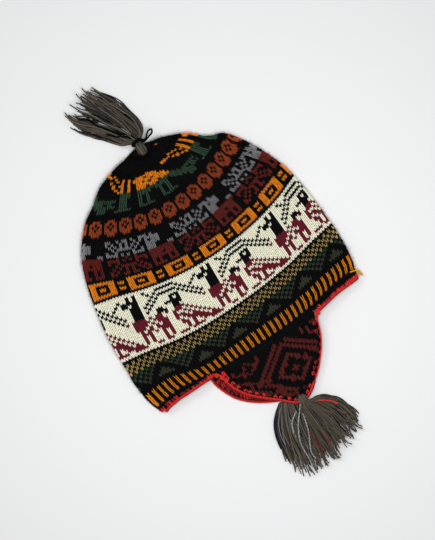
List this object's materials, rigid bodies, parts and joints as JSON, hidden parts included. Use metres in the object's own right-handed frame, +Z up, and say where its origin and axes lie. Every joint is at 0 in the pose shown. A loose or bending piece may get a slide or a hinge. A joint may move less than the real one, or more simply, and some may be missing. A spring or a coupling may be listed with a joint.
{
  "type": "chullo hat",
  "caption": "Knitted hat with earflaps and yarn tassels, lying flat on its side, its crown hollow and open at the hem.",
  "frame": {"origin": "middle of the hat's box in X and Y, at the surface that it lies on", "axes": "+Y from the hem to the gathered top, +X across the hat, +Z up from the surface"},
  "size_m": [0.2516, 0.448, 0.018],
  "materials": {
    "knit_crown": "wool knit, black ground with bands of patterns in ivory, orange, rust, grey, green and dark red",
    "knit_flap": "wool knit, black ground with a dark red diamond pattern",
    "edging_yarn": "red yarn worked over the edge",
    "tassel_yarn": "twisted brown grey wool yarn",
    "tie_yarn": "black wool yarn"
  },
  "bodies": {
    "root": {"crown": "knit_crown", "earflap_front": "knit_flap", "earflap_back": "knit_flap", "edging": "edging_yarn", "top_tassel": "tassel_yarn", "top_tie": "tie_yarn", "flap_tassel_front": "tassel_yarn", "flap_tassel_back": "tassel_yarn"}
  },
  "joints": []
}
